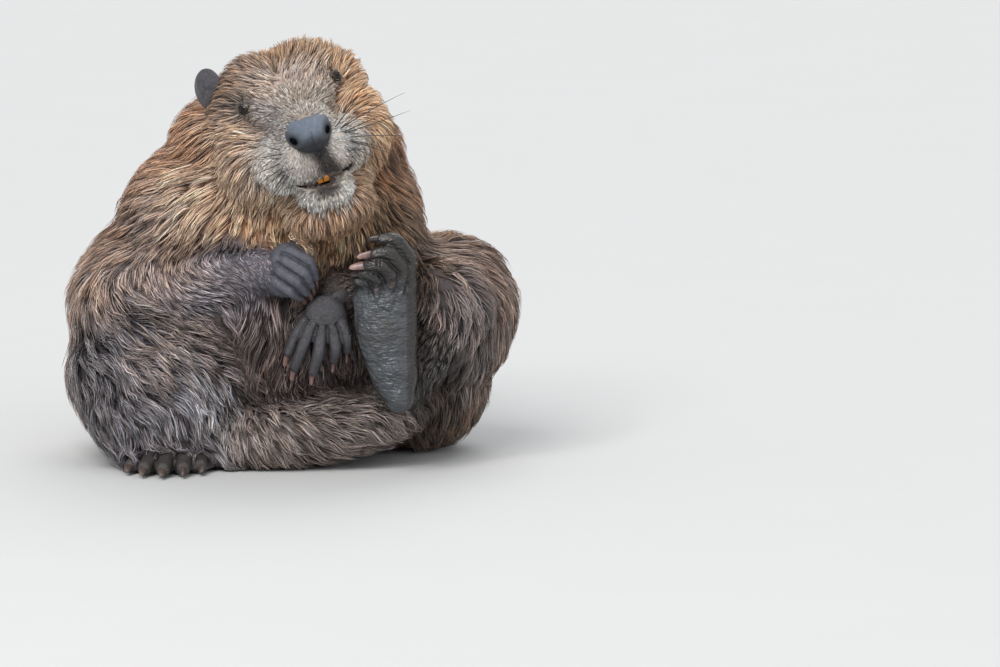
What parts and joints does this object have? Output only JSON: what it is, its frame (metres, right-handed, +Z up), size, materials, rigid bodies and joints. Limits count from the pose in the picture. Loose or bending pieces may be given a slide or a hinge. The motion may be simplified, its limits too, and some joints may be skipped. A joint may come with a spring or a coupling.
{
  "type": "beaver",
  "caption": "Life-size still model of an adult beaver that sits upright, one hind foot raised to scratch and both hands held at the belly, with the flat tail behind it.",
  "frame": {"origin": "on the floor, under the middle of the whole model's box", "axes": "+Y runs from the face to the tail, +X to the animal's left, +Z up"},
  "size_m": [0.3762, 0.5982, 0.3528],
  "materials": {
    "body_fur": "wet brown fur in clumped locks",
    "face_fur": "tan and orange-brown fur, whitish round the mouth",
    "bare_skin": "dark grey wrinkled skin, damp",
    "nose_skin": "blue-grey pebbled skin, damp",
    "tail_scales": "dark grey scaly skin",
    "eye": "glossy, near black",
    "tooth": "orange enamel",
    "claw": "pinkish-brown horn"
  },
  "bodies": {
    "root": {"head": "face_fur", "lower_jaw": "face_fur", "neck": "body_fur", "trunk": "body_fur", "upper_arm_right": "body_fur", "upper_arm_left": "body_fur", "forearm_right": "body_fur", "forearm_left": "body_fur", "thigh_right": "body_fur", "thigh_left": "body_fur", "shank_right": "body_fur", "shank_left": "body_fur", "tail_root": "body_fur", "tail_blade": "tail_scales", "hand_right": "bare_skin", "hand_left": "bare_skin", "foot_right": "bare_skin", "foot_left": "bare_skin", "ear_right": "bare_skin", "ear_left": "bare_skin", "nose": "nose_skin", "eye_right": "eye", "eye_left": "eye", "incisor_right": "tooth", "incisor_left": "tooth", "claw_hand_right_1": "claw", "claw_hand_right_2": "claw", "claw_hand_right_3": "claw", "claw_hand_right_4": "claw", "claw_hand_right_5": "claw", "claw_hand_left_1": "claw", "claw_hand_left_2": "claw", "claw_hand_left_3": "claw", "claw_hand_left_4": "claw", "claw_hand_left_5": "claw", "claw_foot_right_1": "claw", "claw_foot_right_2": "claw", "claw_foot_right_3": "claw", "claw_foot_right_4": "claw", "claw_foot_right_5": "claw", "claw_foot_left_1": "claw", "claw_foot_left_2": "claw", "claw_foot_left_3": "claw", "claw_foot_left_4": "claw", "claw_foot_left_5": "claw"}
  },
  "joints": []
}
